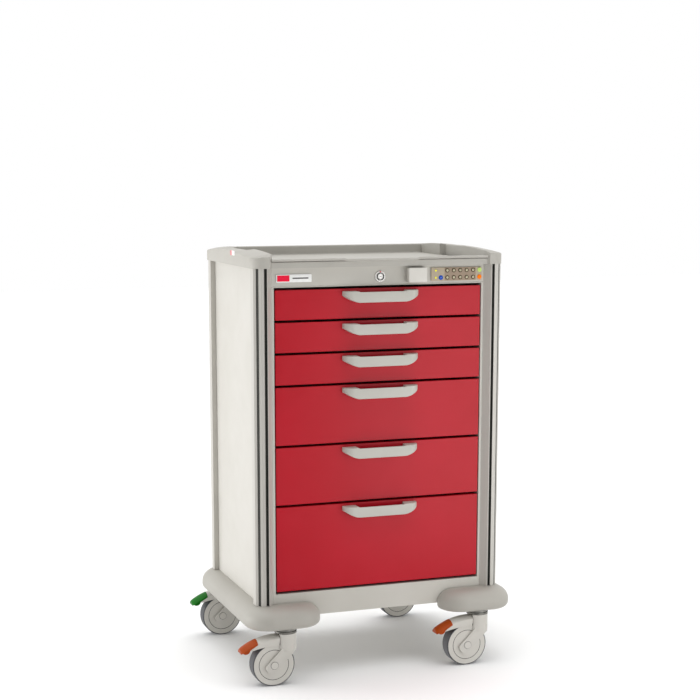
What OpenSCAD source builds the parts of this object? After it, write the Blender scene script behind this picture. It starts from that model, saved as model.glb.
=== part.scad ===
// Crash cart: a six-drawer steel cabinet between aluminium corner posts, on four
// braked swivel casters, with a moulded top, corner bumpers, a key lock and a keypad.
// All sizes are millimetres. +Z is up, the drawers open towards -Y, left is -X.

/* [Cabinet] */
// Width over the corner posts
body_w = 710; // [680:1:740]
// Depth over the corner posts
body_d = 481; // [461:1:521]
// Height of the floor side of the posts above the ground
post_z0 = 212; // [208:1:216]
// Thickness of the folded sheet steel
sheet_t = 2; // [1.5:0.1:2.5]
// Width of one corner post, seen from the front
post_w = 51; // [50:1:54]
// Depth of one corner post, front to back
post_d = 41; // [40:1:44]
// How far the posts stand proud of the drawer fronts
post_proud = 18; // [17:0.5:20]
// How far the side panels lie inside the posts' outer faces
side_recess = 14; // [13:0.5:15]

/* [Drawers] */
// Height step between drawer sizes (three inches)
drawer_unit = 76.2; // [72:0.1:80]
// Height that each drawer adds on top of its steps
drawer_extra = 10.1; // [9:0.1:12]
// Black gap between neighbouring drawer fronts
drawer_gap = 6.6; // [5:0.1:8]
// Width of a drawer front
drawer_w = 590; // [588:1:591]
// Thickness of a drawer front
front_t = 20; // [18:1:22]
// Depth of a drawer tray behind its front
tray_d = 400; // [360:5:405]

/* [Handle] */
// Width of a handle along its top edge
handle_w = 215; // [205:1:225]
// Width of a handle along its bottom edge
handle_bottom_w = 133; // [125:1:140]
// Height of a handle
handle_h = 30; // [28:1:33]
// How far a handle stands out of the drawer front
handle_d = 30; // [28:1:33]
// Wall of the moulded handle
handle_wall = 4; // [3:0.5:5]

/* [Header and top] */
// Height of the header panel above the top drawer
header_h = 51.8; // [50:0.1:54]
// Height of the worktop's front lip above the header
lip_h = 18.5; // [17:0.5:20]
// Height of the worktop's back wall above the header
wall_h = 36.5; // [34:0.5:38]
// Highest point of the end caps above the header
cap_h = 45; // [43:0.5:48]
// Width of one end cap
cap_w = 57; // [56:1:60]

/* [Bumper] */
// Height of the bumper
bumper_h = 58; // [56:1:60]
// How far the bumper reaches past the posts at the sides
bumper_side = 33; // [32:1:36]
// How far the bumper reaches past the posts in front and behind
bumper_front = 52; // [51:0.5:56]
// Outer corner radius of the bumper at the front
bumper_r_front = 70; // [66:1:76]
// Outer corner radius of the bumper at the back
bumper_r_back = 88; // [72:1:90]
// Distance from the cart's middle to the tip of a bumper arm
bumper_tip = 176; // [170:1:190]

/* [Casters] */
// Wheel radius
wheel_r = 59; // [57:0.5:60]
// Width of the tread
tread_w = 37; // [35:1:38]
// Distance from the swivel axis back to the axle
trail = 39; // [37:1:41]
// Distance of the swivel axes from the middle, side to side
stem_x = 283; // [278:1:288]
// Distance of the swivel axes from the middle, front to back
stem_y = 259; // [257:0.5:261]
// Distance from the swivel axis to the tip of the brake pedal
pedal_reach = 130; // [126:1:132]

/* [Keypad and lock] */
// Diameter of a digit key
key_d = 10.6; // [9:0.1:11]
// Distance from key to key
key_pitch = 19.1; // [18:0.1:19.5]
// Outer diameter of the lock's bezel
lock_d = 29; // [26:1:30]

/* [Hidden] */
CORNERS = ["front_left", "front_right", "rear_left", "rear_right"];
DIGITS = ["1", "2", "3", "4", "5", "6", "7", "8", "9", "0"];
// Drawer sizes in steps of drawer_unit, counted from the top.
DRAWER_STEPS = [1, 1, 1, 2, 2, 3];

// Small step that keeps cutters through faces.
eps = 0.5;

// Cabinet planes. The face plane is the front of the drawers.
half_w = body_w / 2;
half_d = body_d / 2;
face_y = -half_d + post_proud;
back_y = half_d - post_proud;
inner_x = half_w - post_w;
panel_x = half_w - side_recess;
flange_w = 6;
open_x = inner_x - flange_w;

// Heights of the drawer stack.
function stack_to(n) = n == 0 ? 0 : stack_to(n - 1) + drawer_extra + drawer_unit * DRAWER_STEPS[n - 1];
rail_h = 28.8;
stack_z0 = post_z0 + rail_h;
stack_z1 = stack_z0 + stack_to(6);
post_z1 = stack_z1 + drawer_gap / 2 + header_h;
header_z0 = stack_z1 + drawer_gap / 2;
chassis_z0 = 172;
pan_z0 = 204;
function drawer_top(n) = stack_z1 - stack_to(n - 1) - drawer_gap / 2;
function drawer_bottom(n) = stack_z1 - stack_to(n) + drawer_gap / 2;

// Drawer slides: a tongue on the tray runs in a channel on the cabinet.
tray_half_w = 284;
tray_wall = 1.5;
tray_lift = 9;
tray_drop = 14;
tongue_x = 296.5;
tongue_h = 12;
channel_gap = 0.5;
channel_t = 1.5;
channel_x0 = 289;
rail_plate_x = 298;
slide_lift = 26;

// Casters.
bumper_z0 = post_z0 - bumper_h;
axle_r = 5;
axle_play = 0.05;
axle_cap_r = 10;
collar_r = 30;
fork_top = 143;
fork_head_r = 29.5;
fork_head_z0 = 97;
leg_t = 6;
leg_gap = 1.2;
leg_y = tread_w / 2 + leg_gap;
leg_w = 32;
leg_end_r = 25;
tyre_room = 3;
stem_r = 9;
stem_play = 0.05;
stem_tip = 131;
// Wheel sections: the side ring ends at rim_r, the tyre sits in a channel below it.
shoulder_r = 3;
rim_r = wheel_r - shoulder_r;
tyre_t = 9;
cover_r = 41.4;

// Brake pedal: a domed channel bent round a large arc, with a solid round toe.
pedal_x = -17;
pedal_z = 121;
pedal_pin_r = 3;
pedal_play = 0.05;
pedal_eye_r = 5.5;
pedal_half_w = 22;
pedal_wall = 2.6;
pedal_top = 140.4;
pedal_arc_r = 180;
pedal_arc_x = -25;
pedal_dome_r = 32.7;
skirt_arc_r = 290;
skirt_arc_x = -30;
skirt_top = 112.8;
toe_r = 12.5;
toe_z = 109;
root_half_w = 12.5;
root_gap = 1;
outrigger_z0 = 163;
outrigger_z1 = 203;

// The pedals all point to the left, so the whole cart is moved until its box is centred.
shift_x = (stem_x + pedal_reach - half_w - bumper_side) / 2;
reader_x0 = 75.5;
reader_w = 53;
keypad_x0 = 147.5;
keypad_w = 149;
keypad_z0 = 1074.8 - 1118.5 + post_z1;
keypad_h = 36.5;
key_x0 = 194.4;
key_z0 = keypad_z0 + 8.9;
function digit_x(i) = key_x0 + key_pitch * (i % 5);
function digit_z(i) = key_z0 + (i < 5 ? key_pitch : 0);
lock_z = post_z1 - 28;

function corner_sx(c) = c == "front_left" || c == "rear_left" ? -1 : 1;
function corner_sy(c) = c == "front_left" || c == "front_right" ? -1 : 1;

STEEL_GREY = "#b9b6ae";
MOULDED_GREY = "#c9c6be";
CREAM = "#efece4";
RED = "#b3202f";
ALUMINIUM = "#c4c2bb";
DARK = "#4a4a48";
ORANGE = "#b8430a";
GREEN = "#0b7a1e";

// Places a part that is drawn round the cart's own middle.
module at_cart() { translate([shift_x, 0, 0]) children(); }

// Copies children to both sides.
module both_sides() { children(); mirror([1, 0, 0]) children(); }

// Copies children to all four corners.
module four_corners() { both_sides() { children(); mirror([0, 1, 0]) children(); } }

// A box between two corners.
module span(a, b) { translate(a) cube(b - a); }

// ---- Cabinet ----

// T-slot for accessories, opening towards -Y at the origin.
module slot_2d() {
    translate([-4, -eps]) square([8, 4 + eps]);
    translate([-7, 3]) square([14, 5.5]);
}

// Extruded post outline at the front right corner: an accessory slot in the front
// and a shallow groove across the outer corner.
groove_d = 3.5;
module post_2d() {
    translate([half_w, -half_d]) difference() {
        polygon([[0, 17], [-17, 0], [-35, 0], [2 - post_w, 16], [-post_w, post_proud],
                 [-post_w, post_d], [0, post_d]]);
        translate([-29, 0]) slot_2d();
        translate([-8.5, 8.5]) rotate(45) square([8, 2 * groove_d], center = true);
        translate([-post_w + 4, 22]) square([post_w - 20, post_d - 26]);
    }
}

module corner_posts() {
    color(ALUMINIUM) at_cart() four_corners()
        translate([0, 0, post_z0]) linear_extrude(post_z1 - post_z0) post_2d();
}

// Folded base: front and back rails, side skirts, a floor pan and four outriggers.
module chassis() {
    rail_top = stack_z0 - drawer_gap / 2;
    color(STEEL_GREY) at_cart() difference() {
        union() {
            span([-inner_x, face_y, chassis_z0], [inner_x, face_y + sheet_t, rail_top]);
            span([-inner_x, back_y - sheet_t, chassis_z0], [inner_x, back_y, post_z0 - 1]);
            both_sides()
                span([panel_x - sheet_t, face_y, chassis_z0], [panel_x, back_y, post_z0 - 1]);
            span([-panel_x, face_y, pan_z0], [panel_x, back_y, pan_z0 + sheet_t]);
            span([-inner_x, face_y, rail_top - sheet_t], [inner_x, face_y + 16, rail_top]);
            four_corners() span([stem_x - 40, -stem_y - 13, outrigger_z0],
                                [stem_x + 40, face_y + eps, outrigger_z1]);
            four_corners() span([stem_x - 40, face_y, chassis_z0],
                                [stem_x + 40, face_y + 60, pan_z0 + eps]);
            // Seats that the posts stand on.
            four_corners() span([inner_x + 1, face_y, pan_z0],
                                [panel_x - 1, -half_d + post_d, post_z0]);
        }
        // Hollows of the outriggers.
        four_corners() span([stem_x - 37, -stem_y - 10, outrigger_z0 + 5],
                            [stem_x + 37, face_y + 57, outrigger_z1 - 3]);
        four_corners() translate([stem_x, -stem_y, outrigger_z0 - 1]) cylinder(r = 6, h = 8, $fn = 48);
    }
}

module side_panels() {
    color(CREAM) at_cart() both_sides() {
        span([panel_x - sheet_t, -half_d + post_d, post_z0 - 1],
             [panel_x, half_d - post_d, post_z1]);
        // Folded edge that stiffens the top.
        span([panel_x - 16, -half_d + post_d, post_z1 - sheet_t],
             [panel_x - eps, half_d - post_d, post_z1]);
    }
}

module back_panel() {
    color(CREAM) at_cart() {
        span([-inner_x, back_y - sheet_t, post_z0 - 1], [inner_x, back_y, post_z1]);
        span([-inner_x, back_y - 16, post_z1 - sheet_t], [inner_x, back_y - eps, post_z1]);
    }
}

// Runner plates with the flanges that frame the opening and six channels a side.
module slide_rails() {
    z0 = stack_z0 - drawer_gap / 2;
    color(STEEL_GREY) at_cart() both_sides() {
        span([rail_plate_x, face_y, z0], [rail_plate_x + sheet_t, back_y - sheet_t, header_z0]);
        span([open_x, face_y, z0], [inner_x, face_y + sheet_t, header_z0]);
        for (n = [1:6]) translate([0, 0, drawer_bottom(n) + slide_lift]) channel();
    }
}

module channel() {
    h = tongue_h / 2 + channel_gap;
    y0 = face_y + front_t + 6;
    y1 = back_y - 8;
    for (s = [-1, 1]) translate([0, 0, s * (h + channel_t / 2) - channel_t / 2])
        span([channel_x0, y0, 0], [rail_plate_x + eps, y1, channel_t]);
}

// Header sheet over the drawers, with cut-outs for the lock and the keypad.
module header_panel() {
    color(STEEL_GREY) at_cart() difference() {
        union() {
            span([-inner_x, face_y, header_z0], [inner_x, face_y + sheet_t, post_z1]);
            span([-inner_x, face_y, header_z0], [inner_x, face_y + 14, header_z0 + sheet_t]);
            span([-inner_x, face_y, post_z1 - sheet_t], [inner_x, face_y + 20, post_z1]);
            translate([0, face_y, header_z0 + 1.5]) rotate([0, 90, 0])
                cylinder(r = 1.5, h = 2 * inner_x, center = true, $fn = 32);
        }
        translate([0, face_y - 5, lock_z]) rotate([-90, 0, 0]) cylinder(r = 10.2, h = 12, $fn = 64);
        span([keypad_x0 + 4, face_y - 5, keypad_z0 + 2],
             [keypad_x0 + keypad_w - 0.1, face_y + 5, keypad_z0 + keypad_h - 2]);
    }
}

// ---- Top ----

// Moulded tray top: rolled front lip, sunken floor and a raised back wall.
module worktop() {
    x = inner_x;
    lip_y = face_y - 22;
    color(MOULDED_GREY) at_cart() difference() {
        union() {
            span([-x, face_y - 14, post_z1], [x, back_y + 15, post_z1 + 15]);
            translate([0, lip_y + 4, post_z1 + lip_h - 4]) rotate([0, 90, 0])
                cylinder(r = 4, h = 2 * x, center = true, $fn = 48);
            span([-x, lip_y + 4, post_z1 + lip_h - 5], [x, face_y + 2, post_z1 + lip_h]);
            span([-x, back_y + 3, post_z1], [x, back_y + 15, post_z1 + wall_h - 4]);
            translate([0, back_y + 9, post_z1 + wall_h - 6]) rotate([0, 90, 0])
                cylinder(r = 6, h = 2 * x, center = true, $fn = 48);
        }
        span([-x + 4, face_y + 2, post_z1 + 9], [x - 4, back_y + 3, post_z1 + 16]);
    }
}

// Height of an end cap's top above the header along y: a short rise behind the
// front block, then a long fall to the back.
cap_peak_y = -half_d + 105;
cap_back = half_d + 6;
cap_front = half_d + 4;
function cap_z(y) = y < cap_peak_y
    ? cap_h - 17 * pow((cap_peak_y - y) / (cap_peak_y + cap_front), 2)
    : cap_h - 13 * pow((y - cap_peak_y) / (cap_back - cap_peak_y), 2);
cap_steps = 16;
function cap_y(i) = -cap_front + (cap_front + cap_back) * i / cap_steps;

module cap_side_2d() {
    polygon(concat([[cap_back, 0], [-cap_front, 0]],
                   [for (i = [0:cap_steps]) [cap_y(i), cap_z(cap_y(i))]]));
}

// Plan of a cap: large round outer corners, and a long bevel at each inner corner.
cap_corner_r = 38;
cap_bevel_x = 10;
cap_bevel_y = 16;
module cap_plan_2d() {
    x1 = half_w + 6;
    x0 = x1 - cap_w;
    r = cap_corner_r;
    difference() {
        union() {
            polygon([[x0, -cap_front + cap_bevel_y], [x0 + cap_bevel_x, -cap_front], [x1 - r, -cap_front],
                     [x1 - r, cap_back], [x0 + cap_bevel_x, cap_back], [x0, cap_back - cap_bevel_y]]);
            intersection() {
                hull() for (y = [-cap_front + r, cap_back - r]) translate([x1 - r, y]) circle(r = r, $fn = 96);
                translate([x1 - r - eps, -cap_front]) square([r + 2 * eps, cap_front + cap_back]);
            }
        }
        // Finger recess in the inner face, so that the cap works as a push handle.
        translate([x0 - eps, -72]) square([16 + eps, 150]);
    }
}

module end_caps() {
    color(MOULDED_GREY) at_cart() both_sides() translate([0, 0, post_z1]) difference() {
        intersection() {
            linear_extrude(cap_h + 1) cap_plan_2d();
            rotate([90, 0, 90]) linear_extrude(half_w + 10) cap_side_2d();
        }
        // Ledge that the worktop's edge lies in.
        span([inner_x - 6, face_y - 26, -eps], [inner_x + eps / 10, back_y + 16, 19]);
        span([inner_x - 6, back_y + 2, -eps], [inner_x + eps / 10, back_y + 16, cap_h + 1]);
        // Hollow underside.
        span([inner_x + 10, -half_d + 24, -eps], [half_w - 6, half_d - 24, 16]);
    }
}

// ---- Bumpers ----

// Section of the bumper, w wide from the cabinet side at x = 0: a flat top that
// rolls off over bumper_roll to the outer face, and a small radius below.
bumper_roll = 45;
bumper_low_r = 14;
bumper_mid = 22;
arc_steps = 10;
module bumper_2d(w) {
    rise = bumper_h - bumper_mid;
    polygon(concat(
        [[0, 0]],
        [for (i = [0:arc_steps]) [w - bumper_low_r + bumper_low_r * sin(90 * i / arc_steps),
                                  bumper_low_r - bumper_low_r * cos(90 * i / arc_steps)]],
        [for (i = [0:arc_steps]) [w - bumper_roll + bumper_roll * cos(90 * i / arc_steps),
                                  bumper_mid + rise * sin(90 * i / arc_steps)]],
        [[0, bumper_h]]
    ));
}

// Round corner of a bumper and the arm that runs from it across the cabinet, ended by
// a round tip. Drawn for the front.
module bumper_end(r) {
    y1 = half_d + bumper_front;
    x1 = half_w + bumper_side;
    arm_w = y1 + face_y;
    translate([x1 - r, -y1 + r, 0]) rotate([0, 0, -90])
        rotate_extrude(angle = 90, $fn = 96) bumper_2d(r);
    translate([bumper_tip + arm_w, face_y, 0]) rotate([90, 0, 90])
        mirror([1, 0, 0]) linear_extrude(x1 - r - bumper_tip - arm_w) bumper_2d(arm_w);
    translate([bumper_tip + arm_w, face_y, 0]) rotate([0, 0, 180])
        rotate_extrude(angle = 90, $fn = 96) bumper_2d(arm_w);
    span([x1 - r - eps, -y1 + r - eps, 0], [panel_x + eps, face_y, bumper_h]);
}

// One bumper, on the right: a bar along the side with an end at the front and the back.
module bumper() {
    y1 = half_d + bumper_front;
    translate([0, 0, bumper_z0]) {
        translate([panel_x, y1 - bumper_r_back, 0]) rotate([90, 0, 0])
            linear_extrude(2 * y1 - bumper_r_back - bumper_r_front)
                bumper_2d(half_w + bumper_side - panel_x);
        bumper_end(bumper_r_front);
        mirror([0, 1, 0]) bumper_end(bumper_r_back);
    }
}

module bumpers() {
    color(MOULDED_GREY) at_cart() both_sides() difference() {
        bumper();
        for (m = [0, 1]) mirror([0, m, 0]) {
            // Pocket round the outrigger, and the hole the caster's collar passes through.
            span([stem_x - 40.5, -stem_y - 13.5, outrigger_z0 - 0.5],
                 [stem_x + 40.5, face_y + 61, outrigger_z1 + 0.5]);
            translate([stem_x, -stem_y, bumper_z0 - 1]) cylinder(r = collar_r + 1, h = 12, $fn = 64);
        }
        // The cabinet's base stands between the bars.
        span([-panel_x, face_y, bumper_z0 - 1], [panel_x, -face_y, post_z0 + 1]);
    }
}

// ---- Casters ----

// Fixed part of the casters: flange under the outrigger, collar and swivel stem.
module caster_stems() {
    color(ALUMINIUM) at_cart() four_corners() translate([stem_x, -stem_y, 0]) {
        translate([0, 0, outrigger_z0 - 5]) cylinder(r = collar_r, h = 5, $fn = 96);
        translate([0, 0, fork_top + 3]) cylinder(r = collar_r - 2, h = outrigger_z0 - fork_top - 7, $fn = 96);
        translate([0, 0, fork_top + 0.4]) cylinder(r = collar_r, h = 3, $fn = 96);
        translate([0, 0, stem_tip]) cylinder(r = stem_r, h = outrigger_z0 - stem_tip, $fn = 64);
        translate([0, 0, outrigger_z0 - 1]) cylinder(r = 5.8, h = 12, $fn = 48);
    }
}

// Places a caster's parts at one corner. All four trail to the left at rest.
module at_caster(c) {
    at_cart() translate([corner_sx(c) * stem_x, corner_sy(c) * stem_y, 0]) children();
}

// Outline of a fork leg: a strap from the head down to the axle at 45 degrees, with
// its end round the axle.
module leg_2d() {
    translate([-trail, wheel_r]) rotate(45) {
        translate([0, -leg_w / 2]) square([80, leg_w]);
        intersection() {
            circle(r = leg_end_r, $fn = 96);
            translate([-leg_end_r, -leg_w / 2]) square([leg_end_r + 1, leg_w]);
        }
    }
}

module fork(c) {
    color(MOULDED_GREY) at_caster(c) difference() {
        union() {
            translate([0, 0, fork_head_z0]) cylinder(r = fork_head_r, h = fork_top - fork_head_z0, $fn = 96);
            intersection() {
                for (s = [0, 1]) mirror([0, s, 0]) translate([0, leg_y + leg_t, 0])
                    rotate([90, 0, 0]) linear_extrude(leg_t) leg_2d();
                span([-90, -40, 0], [20, 40, fork_top - 20]);
            }
        }
        translate([0, 0, stem_tip - 1]) cylinder(r = stem_r + stem_play, h = 40, $fn = 64);
        // Mouth for the pedal's arm, and a narrow one behind it for its root.
        span([-60, -pedal_half_w - 0.8, pedal_z - 10], [-21, pedal_half_w + 0.8, fork_top + 1]);
        span([-60, -root_half_w - root_gap, pedal_z - 10],
             [pedal_x + pedal_eye_r + 0.6, root_half_w + root_gap, pedal_z + 13.6]);
        // Room for the tyre.
        translate([-trail, leg_y, wheel_r]) rotate([90, 0, 0])
            cylinder(r = wheel_r + tyre_room, h = 2 * leg_y, $fn = 96);
    }
    // Axle with its caps, and the pin that the pedal turns on.
    color(MOULDED_GREY) at_caster(c) {
        translate([-trail, leg_y + 1, wheel_r]) rotate([90, 0, 0])
            cylinder(r = axle_r, h = 2 * leg_y + 2, $fn = 64);
        for (s = [-1, 1]) translate([-trail, s * (leg_y + leg_t), wheel_r]) rotate([90, 0, 0])
            cylinder(r = axle_cap_r, h = 3, center = true, $fn = 64);
        translate([pedal_x, 20, pedal_z]) rotate([90, 0, 0])
            cylinder(r = pedal_pin_r, h = 40, $fn = 48);
    }
}

// Wheel centre: cover discs, a groove round them, the side rings and the axle bore.
module hub(c) {
    w = tread_w / 2;
    color(MOULDED_GREY) at_caster(c) translate([-trail, 0, wheel_r]) rotate([90, 0, 0])
        difference() {
            rotate_extrude($fn = 96) difference() {
                translate([0, -w]) square([rim_r, tread_w]);
                translate([wheel_r - tyre_t, shoulder_r - w]) square([tyre_t, tread_w - 2 * shoulder_r]);
                for (s = [-1, 1]) translate([cover_r, s * w]) square([1.2, 3], center = true);
            }
            translate([0, 0, -w - 1]) cylinder(r = axle_r + axle_play, h = tread_w + 2, $fn = 64);
        }
}

// Tread band, set in the channel of the wheel centre.
module tyre(c) {
    w = tread_w / 2 - shoulder_r;
    color(DARK) at_caster(c) translate([-trail, 0, wheel_r]) rotate([90, 0, 0])
        rotate_extrude($fn = 96) {
            translate([wheel_r - tyre_t, -w]) square([tyre_t, 2 * w]);
            intersection() {
                for (s = [-1, 1]) translate([rim_r, s * w]) circle(r = shoulder_r, $fn = 48);
                translate([rim_r, -tread_w]) square([2 * shoulder_r, 2 * tread_w]);
            }
        }
}

// Section of the pedal, drawn out from the centre of its arc: a domed top and
// straight sides.
module pedal_section_2d(inset) {
    w = pedal_half_w - inset;
    intersection() {
        translate([pedal_arc_r - 50, -w]) square([50, 2 * w]);
        translate([pedal_arc_r - pedal_dome_r, 0]) circle(r = pedal_dome_r - inset, $fn = 128);
    }
}

module pedal_sweep(inset) {
    translate([pedal_arc_x, 0, pedal_top - pedal_arc_r]) rotate([90, 0, 0]) rotate([0, 0, 85])
        rotate_extrude(angle = 50, $fn = 240) pedal_section_2d(inset);
}

// Side view of the pedal: the skirt's lower edge is an arc, and the toe a circle.
module pedal_side_2d() {
    toe_x = toe_r - pedal_reach;
    translate([toe_x, toe_z]) circle(r = toe_r, $fn = 64);
    difference() {
        polygon([[toe_x, toe_z - toe_r], [-23, toe_z], [-21.6, pedal_z + 7],
                 [-21.6, fork_top], [toe_x, fork_top]]);
        translate([skirt_arc_x, skirt_top - skirt_arc_r]) circle(r = skirt_arc_r, $fn = 360);
    }
}

module pedal(c) {
    tip_color = c == "rear_left" ? GREEN : ORANGE;
    root_z = pedal_z + 3;
    color(tip_color) at_caster(c) difference() {
        union() {
            difference() {
                intersection() {
                    pedal_sweep(0);
                    translate([0, 30, 0]) rotate([90, 0, 0]) linear_extrude(60) pedal_side_2d();
                }
                difference() {
                    pedal_sweep(pedal_wall);
                    span([-pedal_reach - 1, -30, 0], [30 - pedal_reach, 30, fork_top]);
                    span([-36, -root_half_w, root_z], [0, root_half_w, fork_top]);
                }
            }
            // Root that reaches into the fork, and the eye round the pin.
            span([-24, -root_half_w, root_z], [pedal_x, root_half_w, pedal_z + 12]);
            translate([pedal_x, root_half_w, pedal_z]) rotate([90, 0, 0])
                cylinder(r = pedal_eye_r, h = 2 * root_half_w, $fn = 64);
        }
        translate([pedal_x, 30, pedal_z]) rotate([90, 0, 0])
            cylinder(r = pedal_pin_r + pedal_play, h = 60, $fn = 48);
    }
}

// ---- Drawers ----

module drawer_front(n) {
    z0 = drawer_bottom(n);
    z1 = drawer_top(n);
    color(RED) at_cart() difference() {
        span([-drawer_w / 2, face_y, z0], [drawer_w / 2, face_y + front_t, z1]);
        span([-drawer_w / 2 + sheet_t, face_y + sheet_t, z0 + sheet_t],
             [drawer_w / 2 - sheet_t, face_y + front_t + 1, z1 - sheet_t]);
    }
}

// Open tray with a folded rim and the slide tongues on its sides.
module drawer_tray(n) {
    z0 = drawer_bottom(n) + tray_lift;
    z1 = drawer_top(n) - tray_drop;
    y0 = face_y + sheet_t;
    y1 = face_y + front_t + tray_d;
    x = tray_half_w;
    color(STEEL_GREY) at_cart() {
        difference() {
            span([-x, y0, z0], [x, y1, z1]);
            span([-x + tray_wall, y0 + tray_wall, z0 + tray_wall], [x - tray_wall, y1 - tray_wall, z1 + 1]);
        }
        both_sides() {
            span([x - eps, face_y + front_t + 2, drawer_bottom(n) + slide_lift - 9],
                 [x + 4, y1, drawer_bottom(n) + slide_lift + 9]);
            span([x, face_y + front_t + 8, drawer_bottom(n) + slide_lift - tongue_h / 2],
                 [tongue_x, y1, drawer_bottom(n) + slide_lift + tongue_h / 2]);
        }
    }
}

// Cup pull that is open at the top, so that fingers reach behind its face.
module drawer_handle(n) {
    top = drawer_top(n) - 6.5;
    grip_w = 130;
    color(MOULDED_GREY) at_cart() translate([0, face_y, top - handle_h]) difference() {
        intersection() {
            rotate([90, 0, 0]) linear_extrude(handle_d) handle_shape_2d();
            linear_extrude(handle_h + 1) handle_plan_2d();
        }
        // Finger space.
        span([-grip_w / 2, -handle_d + handle_wall, handle_wall], [grip_w / 2, 1, handle_h + 2]);
    }
}

// Front view of the handle: straight top and bottom, ends that sweep in below.
module handle_shape_2d() {
    drop = 9;
    run = (handle_w - handle_bottom_w) / 2;
    steps = 8;
    polygon(concat(
        [[handle_w / 2, handle_h]],
        [for (i = [0:steps]) [handle_w / 2 - run + run * cos(90 * i / steps),
                              (handle_h - drop) * (1 - sin(90 * i / steps))]],
        [for (i = [steps:-1:0]) [-handle_w / 2 + run - run * cos(90 * i / steps),
                                 (handle_h - drop) * (1 - sin(90 * i / steps))]],
        [[-handle_w / 2, handle_h]]
    ));
}

// Seen from above the face is flat in the middle and curves back to the drawer.
module handle_plan_2d() {
    r = 26;
    translate([-handle_w / 2 + r, -handle_d]) square([handle_w - 2 * r, handle_d]);
    for (s = [-1, 1]) intersection() {
        translate([s * (handle_w / 2 - r), -handle_d + r]) circle(r = r, $fn = 64);
        translate([s > 0 ? 0 : -handle_w / 2, -handle_d]) square([handle_w / 2, handle_d]);
    }
    for (s = [-1, 1]) translate([s * (handle_w / 2 - r / 2) - r / 2, -handle_d + r])
        square([r, handle_d - r]);
}

// ---- Lock and keypad ----

module lock_barrel() {
    color(ALUMINIUM) at_cart() translate([0, face_y, lock_z]) rotate([90, 0, 0]) difference() {
        union() {
            translate([0, 0, -24]) cylinder(r = 10, h = 25, $fn = 96);
            cylinder(r = lock_d / 2, h = 3, $fn = 96);
            translate([0, 0, 2]) cylinder(r = lock_d / 2 - 3, h = 2.5, $fn = 96);
        }
        translate([0, 0, -25]) cylinder(r = 7.05, h = 31, $fn = 96);
    }
}

// Turning plug with its key slit and the cam that works the drawer lock bar.
module lock_core() {
    color(STEEL_GREY) at_cart() translate([0, face_y, lock_z]) rotate([90, 0, 0]) difference() {
        union() {
            translate([0, 0, -28]) cylinder(r = 7, h = 32, $fn = 96);
            translate([-5, -22, -29.5]) cube([10, 27, 3]);
        }
        translate([-3, -0.7, -8]) cube([6, 1.4, 20]);
    }
}

// Keypad plate with its wells, and the box for the card reader and battery.
module keypad_housing() {
    color(MOULDED_GREY) at_cart() {
        difference() {
            union() {
                span([keypad_x0, face_y - 3, keypad_z0], [keypad_x0 + keypad_w, face_y, keypad_z0 + keypad_h]);
                span([keypad_x0 + 5, face_y - 1, keypad_z0 + 3],
                     [keypad_x0 + keypad_w - 4, face_y + 8, keypad_z0 + keypad_h - 3]);
            }
            for (i = [0:9]) well(digit_x(i), digit_z(i), key_d);
            well(key_x0 - key_pitch, key_z0, key_d + 1);
            well(key_x0 + 5 * key_pitch, key_z0 + key_pitch, key_d + 1);
            well(key_x0 + 5 * key_pitch, key_z0, key_d + 1);
        }
        span([reader_x0, face_y - 22, keypad_z0 - 1], [reader_x0 + reader_w, face_y, keypad_z0 + keypad_h + 1.5]);
    }
}

module well(x, z, d) {
    translate([x, face_y - 4, z]) rotate([-90, 0, 0]) {
        cylinder(d = d + 0.6, h = 8, $fn = 48);
        translate([0, 0, 4.2]) cylinder(d = d + 2.2, h = 5.2, $fn = 48);
    }
}

// One key: a cap and the flange that keeps it behind the plate.
module key(x, z, d, tint) {
    color(tint) at_cart() translate([x, face_y, z]) rotate([90, 0, 0]) {
        translate([0, 0, -1.5]) cylinder(d = d, h = 6, $fn = 48);
        translate([0, 0, -2.4]) cylinder(d = d + 0.8, h = 1.8, $fn = 48);
    }
}

chassis();
corner_posts();
side_panels();
back_panel();
slide_rails();
header_panel();
worktop();
end_caps();
bumpers();
caster_stems();
keypad_housing();
lock_barrel();
lock_core();
for (n = [1:6]) {
    drawer_tray(n);
    drawer_front(n);
    drawer_handle(n);
}
for (c = CORNERS) {
    fork(c);
    hub(c);
    tyre(c);
    pedal(c);
}
for (i = [0:9]) key(digit_x(i), digit_z(i), key_d, "#b6a98c");
key(key_x0 - key_pitch, key_z0, key_d + 1, "#1f4fa8");  // key_function
key(key_x0 + 5 * key_pitch, key_z0 + key_pitch, key_d + 1, "#8fca7c");  // key_enter
key(key_x0 + 5 * key_pitch, key_z0, key_d + 1, "#e8791a");  // key_cancel
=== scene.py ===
import math
import bmesh
import bpy
from mathutils import Matrix, Vector


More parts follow.
